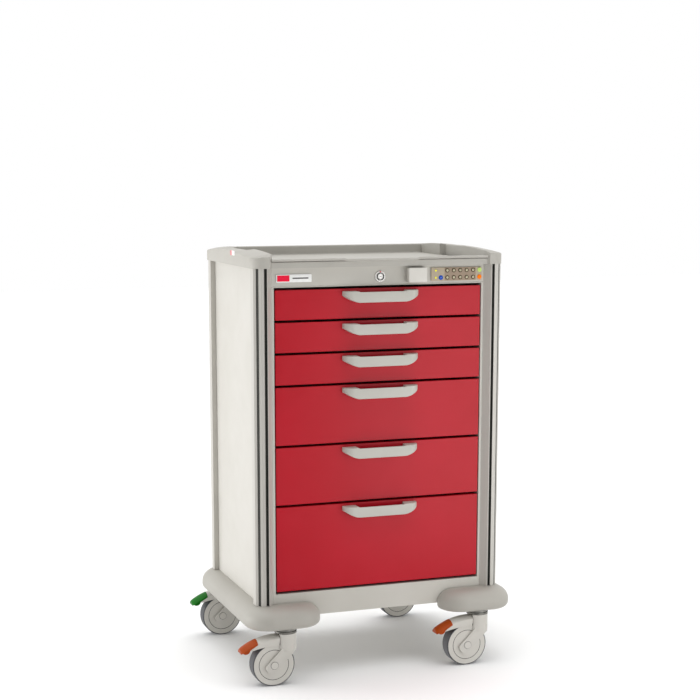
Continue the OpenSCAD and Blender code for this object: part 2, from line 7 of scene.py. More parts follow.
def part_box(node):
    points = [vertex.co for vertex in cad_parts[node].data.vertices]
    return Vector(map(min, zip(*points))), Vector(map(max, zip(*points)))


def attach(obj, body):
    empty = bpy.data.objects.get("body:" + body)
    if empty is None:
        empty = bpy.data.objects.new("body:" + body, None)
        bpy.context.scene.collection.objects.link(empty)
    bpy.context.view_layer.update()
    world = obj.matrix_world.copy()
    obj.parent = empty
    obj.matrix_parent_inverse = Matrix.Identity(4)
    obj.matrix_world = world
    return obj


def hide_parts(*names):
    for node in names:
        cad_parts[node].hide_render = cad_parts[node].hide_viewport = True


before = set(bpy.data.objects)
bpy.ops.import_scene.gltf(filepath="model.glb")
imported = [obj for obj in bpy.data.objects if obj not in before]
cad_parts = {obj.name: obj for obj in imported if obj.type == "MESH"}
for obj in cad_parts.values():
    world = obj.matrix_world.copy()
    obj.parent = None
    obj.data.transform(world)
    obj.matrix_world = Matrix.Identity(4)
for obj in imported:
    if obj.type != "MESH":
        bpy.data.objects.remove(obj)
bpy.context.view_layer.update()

# ---- Camera ----
# A long lens a little above the worktop, in front of the cart and to its left, tipped
# down by about ten degrees. The upward shift sets the cart low in the frame.
camera_place = Vector((-1.5428, -4.2626, 1.3768))
camera_turn = math.radians(-19.66)
camera_drop = math.radians(9.655)
lens_mm = 82.78

camera_data = bpy.data.cameras.new("camera")
camera_data.lens = lens_mm
camera_data.sensor_width = 36.0
camera_data.shift_x = 0.0134
camera_data.shift_y = 0.1313
camera = bpy.data.objects.new("camera", camera_data)
bpy.context.scene.collection.objects.link(camera)
camera.location = camera_place
camera.rotation_euler = (math.pi / 2 - camera_drop, 0.0, camera_turn)
bpy.context.scene.camera = camera


# ---- Studio ----
# A pale seamless floor under a white sky. A broad soft light stands to the left, a
# weaker one in front on the right, and one overhead, as in a product studio.
def linear(hex_colour):
    """An sRGB hex colour as linear red, green, blue and alpha."""
    channels = [int(hex_colour[i:i + 2], 16) / 255 for i in (1, 3, 5)]
    return tuple(c / 12.92 if c <= 0.04045 else ((c + 0.055) / 1.055) ** 2.4 for c in channels) + (1.0,)


def add(tree, kind, settings=None, links=None):
    """Adds a node, sets its properties and sockets, and links its inputs."""
    made = tree.nodes.new(kind)
    for key, value in (settings or {}).items():
        if isinstance(key, int) or key in made.inputs:
            made.inputs[key].default_value = value
        else:
            setattr(made, key, value)
    for key, source in (links or {}).items():
        tree.links.new(source, made.inputs[key])
    return made


def surface(name):
    """A new material with an empty node tree and its output."""
    material = bpy.data.materials.new(name)
    material.use_nodes = True
    material.node_tree.nodes.clear()
    return material, material.node_tree


floor_paper, tree = surface("matte_studio_paper")
# Pale rolled paper: no gloss, a faint mottle.
paper_noise = add(tree, "ShaderNodeTexNoise", {"Scale": 3.0, "Detail": 4.0})
paper_tint = add(tree, "ShaderNodeValToRGB", links={"Fac": paper_noise.outputs["Fac"]})
paper_tint.color_ramp.elements[0].color = linear("#f6f6f6")
paper_tint.color_ramp.elements[1].color = linear("#fafafa")
paper_shader = add(tree, "ShaderNodeBsdfPrincipled", {"Roughness": 1.0, "Specular IOR Level": 0.0},
                   {"Base Color": paper_tint.outputs["Color"]})
add(tree, "ShaderNodeOutputMaterial", links={"Surface": paper_shader.outputs["BSDF"]})

floor_half = 14.0
floor_mesh = bpy.data.meshes.new("floor")
floor_mesh.from_pydata([(-floor_half, -floor_half, 0), (floor_half, -floor_half, 0),
                        (floor_half, floor_half, 0), (-floor_half, floor_half, 0)], [], [(0, 1, 2, 3)])
floor_mesh.materials.append(floor_paper)
floor = bpy.data.objects.new("floor", floor_mesh)
bpy.context.scene.collection.objects.link(floor)
floor.visible_glossy = False

sky = bpy.data.worlds.new("sky")
sky.use_nodes = True
tree = sky.node_tree
tree.nodes.clear()
# White behind the cart and dim in front of it, so that faces turned to the front are
# lit from the floor and softly shaded. Reflections meet a darker front still.
direction = add(tree, "ShaderNodeTexCoord")
split = add(tree, "ShaderNodeSeparateXYZ", links={"Vector": direction.outputs["Generated"]})
for_light = add(tree, "ShaderNodeMapRange", {"From Min": -0.6, "From Max": 0.5, "To Min": 0.4, "To Max": 1.0,
                                            "interpolation_type": "SMOOTHSTEP"}, {"Value": split.outputs["Y"]})
for_gloss = add(tree, "ShaderNodeMapRange", {"From Min": -0.5, "From Max": 0.6, "To Min": 0.16, "To Max": 1.0,
                                            "interpolation_type": "SMOOTHSTEP"}, {"Value": split.outputs["Y"]})
ray = add(tree, "ShaderNodeLightPath")
strength = add(tree, "ShaderNodeMix", links={0: ray.outputs["Is Glossy Ray"], 2: for_light.outputs["Result"],
                                             3: for_gloss.outputs["Result"]})
glow = add(tree, "ShaderNodeBackground", {"Color": (1, 1, 1, 1)}, {"Strength": strength.outputs[0]})
add(tree, "ShaderNodeOutputWorld", links={"Surface": glow.outputs["Background"]})
bpy.context.scene.world = sky
bpy.context.scene.view_settings.view_transform = "Standard"


def soft_light(name, place, aim, size, power):
    """A square area light at place that faces aim."""
    data = bpy.data.lights.new(name, "AREA")
    data.shape = "SQUARE"
    data.size = size
    data.energy = power
    lamp = bpy.data.objects.new(name, data)
    bpy.context.scene.collection.objects.link(lamp)
    lamp.location = place
    lamp.rotation_mode = "QUATERNION"
    lamp.rotation_quaternion = (Vector(aim) - Vector(place)).to_track_quat("-Z", "Y")


soft_light("left_light", (-3.3, 1.1, 0.45), (0, 0, 0.6), 1.4, 46.0)
soft_light("front_panel", (0.98, -1.5, 0.55), (0.2, 0, 0.55), 1.25, 8.0)

overhead = bpy.data.lights.new("overhead", "SUN")
overhead.energy = 1.5
overhead.angle = math.radians(70)
overhead_lamp = bpy.data.objects.new("overhead", overhead)
bpy.context.scene.collection.objects.link(overhead_lamp)

# ---- Chassis ----
# The folded base of the cabinet: rails, floor pan and one outrigger a caster, in 2 mm
# steel. It is spot welded, powder coated in light grey, and the posts stand on it.
MM = 0.001
middle = (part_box("worktop")[0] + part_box("worktop")[1]) / 2 / MM
cart_x = middle.x


def noise(tree, size_mm, detail=3.0, stretch=(1.0, 1.0, 1.0)):
    """A noise pattern on the piece itself, with grains of about size_mm."""
    place = add(tree, "ShaderNodeTexCoord")
    scaled = add(tree, "ShaderNodeMapping", {"Scale": stretch}, {"Vector": place.outputs["Object"]})
    return add(tree, "ShaderNodeTexNoise", {"Scale": 1 / (size_mm * MM), "Detail": detail, "Roughness": 0.55},
               {"Vector": scaled.outputs["Vector"]}).outputs["Fac"]


def shades(tree, source, dark, light, low=0.3, high=0.7):
    """A colour that goes from dark to light as source rises."""
    ramp = add(tree, "ShaderNodeValToRGB", links={"Fac": source})
    ramp.color_ramp.elements[0].position = low
    ramp.color_ramp.elements[0].color = linear(dark)
    ramp.color_ramp.elements[1].position = high
    ramp.color_ramp.elements[1].color = linear(light)
    return ramp.outputs["Color"]


def spread(tree, source, low, high):
    """A value that goes from low to high as source rises."""
    return add(tree, "ShaderNodeMapRange", {"From Min": 0.3, "From Max": 0.7, "To Min": low, "To Max": high},
               {"Value": source}).outputs["Result"]


def close_up(tree, colour, roughness, height, depth_mm, settings=None):
    """The shader that ends a surface: its colour, gloss and the relief of its skin."""
    relief = add(tree, "ShaderNodeBump", {"Distance": depth_mm * MM, "Strength": 1.0}, {"Height": height})
    shader = add(tree, "ShaderNodeBsdfPrincipled", settings,
                 {"Base Color": colour, "Roughness": roughness, "Normal": relief.outputs["Normal"]})
    add(tree, "ShaderNodeOutputMaterial", links={"Surface": shader.outputs["BSDF"]})


def powder_coat(name, dark, light, gloss_low, gloss_high, shine=0.5):
    """Baked polyester powder on steel: an even colour with a faint orange peel. The real
    peel is 2 mm wide; it is drawn 5 mm wide so that it shows."""
    material, tree = surface(name)
    cloud = noise(tree, 180.0)
    close_up(tree, shades(tree, cloud, dark, light), spread(tree, noise(tree, 40.0), gloss_low, gloss_high),
             noise(tree, 5.0, 2.0), 0.06, {"Specular IOR Level": shine})
    return material


def dress(node, material, edge_mm=0.6):
    """Gives a CAD node its material and the small round that folding or moulding leaves."""
    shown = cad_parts[node]
    shown.data.materials.clear()
    shown.data.materials.append(material)
    shown.modifiers.new("weld", "WELD").merge_threshold = 1e-6
    flats = shown.modifiers.new("flats", "DECIMATE")
    flats.decimate_type = "DISSOLVE"
    flats.angle_limit = math.radians(0.4)
    edge = shown.modifiers.new("edge", "BEVEL")
    edge.width = edge_mm * MM
    edge.segments = 2
    edge.limit_method = "ANGLE"
    edge.angle_limit = math.radians(35)
    for face in shown.data.polygons:
        face.use_smooth = True
    shown.modifiers.new("shading", "WEIGHTED_NORMAL")


grey_steel = powder_coat("powder_coated_steel_light_grey", "#c0bdb4", "#c6c3bb", 0.42, 0.5)
dress("chassis", grey_steel)

# ---- Corner posts ----
# Four aluminium extrusions with an accessory slot in front and a groove across the outer corner. A dark strip
# down each stands for the shade deep inside it: painted shade.
aluminium, tree = surface("anodised_extruded_aluminium")
# Matt anodising over long fine die lines: a silky grey with streaks up the post.
die_lines = noise(tree, 3.0, 2.0, (1.0, 1.0, 0.01))
close_up(tree, shades(tree, die_lines, "#c4c1ba", "#c9c6bf"), spread(tree, die_lines, 0.36, 0.42), die_lines,
         0.01, {"Metallic": 0.25})
dress("corner_posts", aluminium, 0.8)

dark_rubber_print_and_shade, tree = surface("dark_rubber_print_and_painted_shade")
# Dull dark rubber with a dusty bloom, for the lock's gasket and the name plate's printed bar. The same dark is
# also laid as painted shade in slots, grooves and gaps.
bloom = noise(tree, 12.0)
close_up(tree, shades(tree, bloom, "#3b3b37", "#484843"), spread(tree, bloom, 0.6, 0.75),
         noise(tree, 1.5), 0.05)


def loft(rings, capped=True, around=True):
    """Points and faces of a skin over rings that have the same number of points."""
    count = len(rings[0])
    points = [point for ring in rings for point in ring]
    faces = []
    for i in range(len(rings) - 1):
        for j in range(count if around else count - 1):
            k = (j + 1) % count
            faces.append((i * count + j, i * count + k, (i + 1) * count + k, (i + 1) * count + j))
    if capped:
        faces.append(tuple(range(count)))
        faces.append(tuple((len(rings) - 1) * count + j for j in range(count)))
    return points, faces


def piece(name, shape, material, body, sharp=32.0, edge_mm=0.0):
    """A named piece from points in millimetres, riding on a body. Its sharp edges are
    rolled by edge_mm."""
    mesh = bpy.data.meshes.new(name)
    mesh.from_pydata([(x * MM, y * MM, z * MM) for x, y, z in shape[0]], [], shape[1])
    work = bmesh.new()
    work.from_mesh(mesh)
    bmesh.ops.remove_doubles(work, verts=work.verts, dist=1e-6)
    bmesh.ops.recalc_face_normals(work, faces=work.faces)
    if edge_mm:
        edges = [e for e in work.edges if len(e.link_faces) == 2 and e.calc_face_angle() > math.radians(sharp)]
        bmesh.ops.bevel(work, geom=edges, offset=edge_mm * MM, segments=3, profile=0.5, affect="EDGES",
                        clamp_overlap=True)
    work.to_mesh(mesh)
    work.free()
    for face in mesh.polygons:
        face.use_smooth = True
    mesh.set_sharp_from_angle(angle=math.radians(sharp))
    mesh.materials.append(material)
    made = bpy.data.objects.new(name, mesh)
    bpy.context.scene.collection.objects.link(made)
    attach(made, body)
    return made


def mirrored(shape, x):
    """The same shape on the other side of the plane at x."""
    return [(2 * x - px, py, pz) for px, py, pz in shape[0]], shape[1]


def joined(shapes):
    """Several shapes as one."""
    points, faces = [], []
    for more_points, more_faces in shapes:
        faces += [tuple(i + len(points) for i in face) for face in more_faces]
        points += more_points
    return points, faces


posts_low, posts_high = (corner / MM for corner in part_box("corner_posts"))
slot_in = 29.0       # from the post's outer side to the middle of the slot
# Size of the dark channel of painted shade laid in each slot.
slot_shade_half = 3.9
slot_shade_wall = 0.8
slot_shade_depth = 8.2
groove_mid = 8.5
groove_half = 3.8


def post_shade_strip(sx, sy, outline):
    """A dark strip of painted shade along a post, with its outline given from the post's outer corner."""
    corner_x = posts_low.x if sx < 0 else posts_high.x
    corner_y = posts_low.y if sy < 0 else posts_high.y
    return loft([[(corner_x - sx * u, corner_y - sy * v, z) for u, v in outline]
                 for z in (posts_low.z + 0.5, posts_high.z - 0.5)])


# The dark channel in the slot and the dark strip in the corner groove stand for the shade inside them: painted
# shade.
slot_shade = [(slot_in - slot_shade_half, 0.4),
         (slot_in - slot_shade_half, slot_shade_depth),
         (slot_in + slot_shade_half, slot_shade_depth),
         (slot_in + slot_shade_half, 0.4),
         (slot_in + slot_shade_half - slot_shade_wall, 0.4),
         (slot_in + slot_shade_half - slot_shade_wall, slot_shade_depth - slot_shade_wall),
         (slot_in - slot_shade_half + slot_shade_wall, slot_shade_depth - slot_shade_wall),
         (slot_in - slot_shade_half + slot_shade_wall, 0.4)]
half = groove_half / math.sqrt(2)
corner_groove_shade = [(groove_mid - half + 0.9, groove_mid + half + 0.9),
         (groove_mid + half + 0.9, groove_mid - half + 0.9),
         (groove_mid + half + 2.2, groove_mid - half + 2.2),
         (groove_mid - half + 2.2, groove_mid + half + 2.2)]
# Painted shade: dark strips down every post's slot and corner groove.
strips = [post_shade_strip(sx, sy, outline) for sx in (-1, 1) for sy in (-1, 1) for outline in (slot_shade, corner_groove_shade)]
piece("post_slot_painted_shade", joined(strips), dark_rubber_print_and_shade, "cart")

# ---- Side and back panels ----
# Flat steel sheets, powder coated in a warmer cream, set in behind the posts. The
# back one is held by a row of round-headed screws down each edge.
cream_steel = powder_coat("powder_coated_steel_cream", "#c9c6be", "#cfccc5", 0.4, 0.48)
dress("side_panels", cream_steel)
dress("back_panel", cream_steel)

zinc, tree = surface("zinc_plated_pressed_steel")
# Bright zinc dulled by handling: grey metal with a fine cloudy spangle.
spangle = noise(tree, 6.0)
close_up(tree, shades(tree, spangle, "#b3b1aa", "#c6c4bd"), spread(tree, spangle, 0.28, 0.4),
         noise(tree, 2.0), 0.03, {"Metallic": 0.7})


def turned(outline, place, facing, steps=48):
    """A round solid from an outline of (radius, height) pairs, its axis along facing."""
    turn = Vector((0, 0, 1)).rotation_difference(Vector(facing))
    rings = []
    for i in range(steps + 1):
        angle = 2 * math.pi * i / steps
        rings.append([tuple(turn @ Vector((r * math.cos(angle), r * math.sin(angle), h)) + Vector(place))
                      for r, h in outline])
    return loft(rings, capped=False)


screw_head = [(0.01, 0), (4.2, 0), (4.2, 0.8), (3.6, 1.8), (2.4, 2.5), (1.6, 2.6), (1.5, 1.2), (0.01, 1.2)]
back_low, back_high = (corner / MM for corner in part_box("back_panel"))
screw_rows = 6
screw_inset = 14.0
screw_end = 30.0
heads = []
for i in range(screw_rows):
    z = back_low.z + screw_end + (back_high.z - back_low.z - 2 * screw_end) * i / (screw_rows - 1)
    for x in (back_low.x + screw_inset, back_high.x - screw_inset):
        heads.append(turned(screw_head, (x, back_high.y, z), (0, 1, 0), 24))
piece("back_panel_screws", joined(heads), zinc, "cart")

# ---- Slide rails ----
# Runner plates with flanges that frame the drawer opening and six channels a side,
# in the same grey powder coat as the base.
dress("slide_rails", grey_steel, 0.4)

# ---- Header panel ----
# The folded sheet over the drawers, grey powder coat. A plain printed plate is stuck
# on its left end.
dress("header_panel", grey_steel, 0.5)
header_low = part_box("header_panel")[0] / MM
face_y = header_low.y

printed_plate, tree = surface("printed_polyester_plate")
# White gloss film over card: flat and clean.
grime = noise(tree, 8.0)
close_up(tree, shades(tree, grime, "#eeeeec", "#f6f6f4"), spread(tree, grime, 0.3, 0.38), grime, 0.01)
printed_red, tree = surface("printed_polyester_red")
# The same film printed a solid red.
grime = noise(tree, 8.0)
close_up(tree, shades(tree, grime, "#f00a38", "#f61040"), spread(tree, grime, 0.3, 0.38), grime, 0.01,
         {"Specular IOR Level": 0.25})


def plate(centre, half_x, half_z, y_back, y_front, corner_r):
    """A thin plate with rounded corners that faces -Y."""
    ring = []
    for k in range(4):
        sx, sz = ((1, 1), (-1, 1), (-1, -1), (1, -1))[k]
        for j in range(7):
            angle = math.pi / 2 * (k + j / 6)
            ring.append((centre[0] + sx * (half_x - corner_r) + corner_r * math.cos(angle),
                         centre[1] + sz * (half_z - corner_r) + corner_r * math.sin(angle)))
    return loft([[(x, y, z) for x, z in ring] for y in (y_back, y_front)])


plate_x = cart_x - 243.0
plate_z = header_low.z + 24.4
piece("name_plate", plate((plate_x, plate_z), 49.0, 10.5, face_y, face_y - 1.0, 1.5), printed_plate, "cart",
      edge_mm=0.3)
piece("name_plate_field", plate((plate_x - 29.5, plate_z), 17.0, 8.0, face_y - 0.9, face_y - 1.3, 1.0),
      printed_red, "cart")
piece("name_plate_bar", plate((plate_x + 18.0, plate_z), 22.0, 1.6, face_y - 0.9, face_y - 1.2, 0.8),
      dark_rubber_print_and_shade, "cart")

# ---- Worktop ----
# A moulded polymer tray top that lies between the end caps: rolled front lip, sunken
# floor, raised back wall. The middle of the front lip lies a little lower than its ends.
def moulded_polymer(name, dark, light, gloss_low, gloss_high, grain_mm=3.0, shine=0.5):
    """Spark-textured moulding: an even satin plastic with a fine leather-like grain. The
    real grain is 0.3 mm; it is drawn coarser so that it shows."""
    material, tree = surface(name)
    cloud = noise(tree, 120.0)
    close_up(tree, shades(tree, cloud, dark, light), spread(tree, noise(tree, 30.0), gloss_low, gloss_high),
             noise(tree, grain_mm, 4.0), 0.05, {"Specular IOR Level": shine})
    return material


grey_polymer = moulded_polymer("moulded_polymer_light_grey", "#b3b0a8", "#b9b6ae", 0.44, 0.54)
top_low, top_high = (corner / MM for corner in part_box("worktop"))


def arc(centre, radius, start, end, steps=6):
    """Points along an arc, in degrees."""
    return [(centre[0] + radius * math.cos(math.radians(start + (end - start) * i / steps)),
             centre[1] + radius * math.sin(math.radians(start + (end - start) * i / steps)))
            for i in range(steps + 1)]


def top_outline(dip):
    """The top's section from front to back; dip lowers the lip."""
    front = top_low.y + 8
    base = top_low.z
    outline = [(front, base), (front, base + 15.2), (front + 5, base + 15.8), (front + 5, base + 17.6 - dip)]
    outline += arc((front - 3.4, base + 20.8 - dip), 3.2, 285, 90, 8)
    outline += arc((front + 6, base + 19.6 - dip), 4.4, 90, 30, 3)
    outline += arc((front + 18, base + 12.5), 3.0, 220, 270, 3)
    outline += arc((top_high.y - 17, base + 14.5), 5.0, 270, 350, 4)
    outline += arc((top_high.y - 6, top_high.z - 6 - 0.2), 5.6, 160, 0, 8)
    outline += [(top_high.y - 0.4, base)]
    return outline


relief_half = 100.0
relief_run = 10.0
lip_dip = 2.0
end_tuck = 4.8       # how far each end runs past the CAD top, to close the gap at the cap
stations = [-top_high.x + cart_x - end_tuck, -relief_half - relief_run, -relief_half, relief_half,
            relief_half + relief_run, top_high.x - cart_x + end_tuck]
rings = []
for i, x in enumerate(stations):
    dip = lip_dip if i in (2, 3) else 0.0
    rings.append([(cart_x + x, y, z) for y, z in top_outline(dip)])
worktop = piece("worktop_moulding", loft(rings), grey_polymer, "cart")
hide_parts("worktop")

# ---- End caps ----
# A moulded polymer cap closes each end of the top and serves as a push handle: it is
# arched from front to back, falls outwards, and has a finger recess in its inner side.
caps_low, caps_high = (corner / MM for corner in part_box("end_caps"))
cap_w = 57.0
cap_r = 38.0
cap_bevel_x = 10.0
cap_bevel_y = 16.0
cap_front = caps_low.y
cap_back = caps_high.y
cap_base = caps_low.z
recess_from = -72.0
recess_to = 78.0
recess_in = 16.0
facet_slope = 0.75
crown_marks = [(0, 37), (35, 38.5), (80, 41), (140, 43), (217, 43.4), (326, 42.5), (401, 40.5), (491, 35)]
rim_marks = [(0, 29.7), (12, 26), (38, 27.5), (70, 29.5), (141, 33), (200, 36), (291, 37), (370, 34.5),
             (435, 29.5), (491, 24)]


def along(marks, t):
    """Height at t on the straight runs between marks."""
    for (t0, h0), (t1, h1) in zip(marks, marks[1:]):
        if t <= t1:
            u = (t - t0) / (t1 - t0)
            return h0 + (h1 - h0) * u
    return marks[-1][1]


def cap_crown(t):
    """Height of the ridge along the cap's inner side, t back from its front."""
    return sum(along(crown_marks, max(t + d, 0)) for d in (-12, -6, 0, 6, 12)) / 5


def cap_rim(t):
    """Height of the cap's outer rim: it dips round each corner."""
    spread_by = min(t / 3, 12)
    return sum(along(rim_marks, t + d * spread_by) for d in (-1, -0.5, 0, 0.5, 1)) / 5


def cap_ring(t, recess):
    """One closed section of the right cap, t back from its front."""
    near = max(min(t, cap_back - cap_front - t), 0)
    corner = max(cap_r - near, 0)
    outer_x = caps_high.x - cap_r + math.sqrt(cap_r ** 2 - corner ** 2)
    inner_x = caps_high.x - cap_w + recess * recess_in + cap_bevel_x * max(1 - near / cap_bevel_y, 0)
    rim = cap_rim(t)
    y = cap_front + t
    ring = [(outer_x, 0), (outer_x, rim - 1.2), (outer_x - 0.4, rim - 0.3)]
    for u in (0.02, 0.06, 0.11, 0.17, 0.24, 0.32, 0.42, 0.54, 0.66, 0.78, 0.9, 1.0):
        x = outer_x + (inner_x + 3 - outer_x) * u
        inside = min(cap_r - math.hypot(max(x - caps_high.x + cap_r, 0), corner), near if near < cap_r else 99)
        across_by = min(max((caps_high.x - x) / cap_w, 0), 1)
        crown = cap_crown(t) - 2.5 * recess
        top = crown - (crown - rim - 1.5) * (1 - across_by) ** 1.6
        facet = rim + facet_slope * max(inside, 0) + 0.3
        ring.append((x, top - math.log1p(math.exp(min((top - facet) / 0.8, 60))) * 0.8))
    x, z = ring[-1]
    ring += [(inner_x + 1, z - 0.8), (inner_x, z - 3), (inner_x, 0)]
    return [(x, y, cap_base + z) for x, z in ring]


cap_length = cap_back - cap_front
marks = [0, 0.3, 1, 2, 3.5, 5.5, 8, 11, 15]
marks += [15 + (cap_length - 30) * i / 60 for i in range(1, 60)]
marks += [cap_length - m for m in (15, 11, 8, 5.5, 3.5, 2, 1, 0.3, 0)]
blend = 6.0
marks += [recess_from - cap_front + d for d in (-blend, -blend / 2, 0)]
marks += [recess_to - cap_front + d for d in (0, blend / 2, blend)]
cap_rings = []
for t in sorted(set(round(m, 2) for m in marks)):
    y = cap_front + t
    outside = max(recess_from - y, y - recess_to, 0)
    cap_rings.append(cap_ring(t, max(1 - outside / blend, 0)))
right_cap = loft(cap_rings)
caps = piece("end_cap_mouldings", joined([right_cap, mirrored(right_cap, cart_x)]), grey_polymer, "cart",
             sharp=28)
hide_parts("end_caps")


def side_tag(y0, y1, z0, z1, x, out):
    """A thin tag on the outside of the left cap."""
    return loft([[(x - d, y0, z0), (x - d, y1, z0), (x - d, y1, z1), (x - d, y0, z1)] for d in (0, out)])


tag_x = caps_low.x + 0.3
piece("cap_tag", side_tag(-72.5, -45.0, cap_base + 26.5, cap_base + 39.0, tag_x, 0.7), printed_plate, "cart")
piece("cap_tag_field", side_tag(-44.9, -35.5, cap_base + 26.5, cap_base + 39.0, tag_x, 0.8),
      printed_red, "cart")

# ---- Bumpers ----
# One soft-edged moulding a side, bolted to the outriggers. It wraps the side and both
# corners, and its arms end round under the drawers.
bumper_low, bumper_high = (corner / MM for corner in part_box("bumpers"))
bumper_h = bumper_high.z - bumper_low.z
side_x = bumper_high.x
back_face = -face_y
tip_x = cart_x + 176.0
front_r = 70.0
back_r = 88.0
arm_w = face_y - bumper_low.y
side_w = side_x - cart_x - 341.0
roll = 45.0
low_r = 14.0
mid = 22.0


def bumper_ring(outer, inward, width):
    """The section at a point of the outer outline, seen square to it."""
    outline = [(width, 0)] + [(low_r - x, low_r - z) for x, z in arc((0, 0), low_r, 90, 0, 6)]
    outline += [(roll - roll * math.cos(a), mid + (bumper_h - mid) * math.sin(a))
                for a in [math.pi / 2 * i / 12 for i in range(13)]]
    outline += [(width, bumper_h)]
    return [(outer[0] + inward[0] * d, outer[1] + inward[1] * d, bumper_low.z + z) for d, z in outline]


def bumper_arc(centre, radius, start, end, steps):
    """Sections round a corner or a tip."""
    rings = []
    for i in range(steps + 1):
        a = math.radians(start + (end - start) * i / steps)
        out = (math.cos(a), math.sin(a))
        rings.append(bumper_ring((centre[0] + radius * out[0], centre[1] + radius * out[1]),
                                 (-out[0], -out[1]), radius))
    return rings


rings = bumper_arc((tip_x + arm_w, face_y), arm_w, 180, 270, 20)
rings += bumper_arc((side_x - front_r, face_y), front_r, 270, 360, 24)
rings += [bumper_ring((side_x, y), (-1, 0), side_w)
          for y in (bumper_low.y + front_r + 1, back_face - back_r + arm_w - 1)]
rings += bumper_arc((side_x - back_r, bumper_high.y - back_r), back_r, 0, 90, 28)
rings += bumper_arc((tip_x + arm_w, back_face), arm_w, 90, 180, 20)
right_bumper = loft(rings)
bumper_polymer = moulded_polymer("moulded_polymer_bumper_grey", "#a9a69e", "#afaca4", 0.46, 0.56)
bumpers = piece("bumper_mouldings", joined([right_bumper, mirrored(right_bumper, cart_x)]),
                bumper_polymer, "cart", sharp=40)
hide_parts("bumpers")

# ---- Drawers ----
# Each drawer is a folded tray in grey powder coat with a red powder-coated front. A
# satin nylon cup pull is screwed to the front from inside.
red_steel = powder_coat("powder_coated_steel_red", "#b4071d", "#ba0a22", 0.28, 0.34, 0.3)
tray_steel = powder_coat("powder_coated_steel_tray_grey", "#b9b7b0", "#c1bfb8", 0.4, 0.5)
nylon = moulded_polymer("glass_filled_nylon_grey", "#bab8b0", "#c1bfb7", 0.38, 0.46, 2.0)

pull_half_top = 107.5
pull_half_low = 66.5
pull_h = 30.0
pull_d = 30.0
pull_wall = 4.0
pull_upright = 12.0
pull_cheek_r = 26.0
mouth_half = 65.0
mouth_dip = 1.8


def pull_reach(x):
    """How far the pull's face stands out at x: flat in the middle, round at the cheeks."""
    past = abs(x) - (pull_half_top - pull_cheek_r)
    if past <= 0:
        return pull_d
    return pull_d - pull_cheek_r + math.sqrt(max(pull_cheek_r ** 2 - past ** 2, 0))


def pull_bottom(x):
    """Height of the pull's lower edge at x: flat, then a diagonal up to each end."""
    run = (abs(x) - pull_half_low) / (pull_half_top - pull_half_low)
    if run <= 0:
        return 0.0
    return (pull_h - pull_upright) * run ** 1.55


def pull_shape():
    """A shell that is open at the top of its middle, as a closed skin."""
    columns = [-1 + 2 * i / 64 for i in range(65)]
    rings = []
    for c in columns:
        x = pull_half_top * math.sin(math.pi / 2 * c) if abs(c) > 0.55 else pull_half_top * c * 0.76 / 0.55
        reach = pull_reach(x)
        low = pull_bottom(x)
        edge = min(3.0, reach / 2)
        ring = [(0.0, low)]
        ring += [(-(reach - edge) - edge * math.sin(a), low + edge - edge * math.cos(a))
                 for a in [math.pi / 2 * i / 5 for i in range(6)]]
        open_here = abs(x) < mouth_half
        top = pull_h - (mouth_dip if open_here else 0)
        ring += [(-(reach - 1.2) - 1.2 * math.cos(a), top - 1.2 + 1.2 * math.sin(a))
                 for a in [math.pi / 2 * i / 3 for i in range(4)]]
        inner = -(reach - pull_wall) if open_here else -1.0
        floor = low + pull_wall if open_here else pull_h
        ring += [(inner, top), (inner, floor), (0.0, floor)]
        rings.append([(x, y, z) for y, z in ring])
    return loft(rings)


pull_points, pull_faces = pull_shape()
for n in range(1, 7):
    body = f"drawer_{n}"
    dress(f"drawer_{n}_tray", tray_steel, 0.4)
    dress(f"drawer_{n}_front", red_steel, 1.4)
    low, high = (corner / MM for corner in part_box(f"drawer_{n}_handle"))
    placed = [(cart_x + x, high.y + y, low.z + z) for x, y, z in pull_points]
    pull = piece(f"drawer_{n}_pull", (placed, pull_faces), nylon, body, sharp=38)
    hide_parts(f"drawer_{n}_handle")

# ---- Lock ----
# A cylinder lock: plated bezel and barrel, and a core that turns with its key. A red
# dot above it marks the locked side.
plated, tree = surface("nickel_plated_die_cast_zinc")
# Soft bright plating over a casting: white metal with faint clouding.
cloud = noise(tree, 5.0)
close_up(tree, shades(tree, cloud, "#e2e0dc", "#efede9"), spread(tree, cloud, 0.2, 0.3),
         noise(tree, 1.5), 0.02, {"Metallic": 0.45})
dress("lock_barrel", plated, 0.5)
dress("lock_core", plated, 0.3)
lock_low, lock_high = (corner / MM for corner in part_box("lock_barrel"))
lock_z = (lock_low.z + lock_high.z) / 2
gasket = [(10.2, 3.4), (10.2, 5.0), (9.2, 5.3), (8.2, 5.0), (8.2, 3.4)]
piece("lock_gasket", turned(gasket, (cart_x, face_y, lock_z), (0, -1, 0), 64), dark_rubber_print_and_shade, "cart")
dot = [(0.01, 2.6), (1.5, 2.6), (1.5, 3.2), (1.0, 3.6), (0.01, 3.7)]
piece("lock_mark", turned(dot, (cart_x, face_y, lock_z + 12.8), (0, -1, 0), 20), printed_red, "cart")

# ---- Keypad and reader ----
# A low moulded frame under a printed polyester film, with a darker field behind the
# digits. The battery and reader box beside it is moulded in the cabinet's grey.
box_low, box_high = (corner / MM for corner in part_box("keypad_housing"))
reader_w = 53.0
reader = plate((box_low.x + reader_w / 2, (box_low.z + box_high.z) / 2), reader_w / 2,
               (box_high.z - box_low.z) / 2, face_y, box_low.y, 3.0)
reader_polymer = moulded_polymer("moulded_abs_reader_grey", "#d3d0c8", "#d8d5ce", 0.4, 0.5)
reader_box = piece("reader_box", reader, reader_polymer, "cart", sharp=30, edge_mm=1.6)
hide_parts("keypad_housing")

film, tree = surface("printed_polyester_film_taupe")
# Printed from behind, with a velvet face: an even matt taupe.
grain = noise(tree, 2.0)
close_up(tree, shades(tree, grain, "#b3a48d", "#b8aa94"), spread(tree, grain, 0.45, 0.55), grain, 0.02)
film_field, tree = surface("printed_polyester_film_brown")
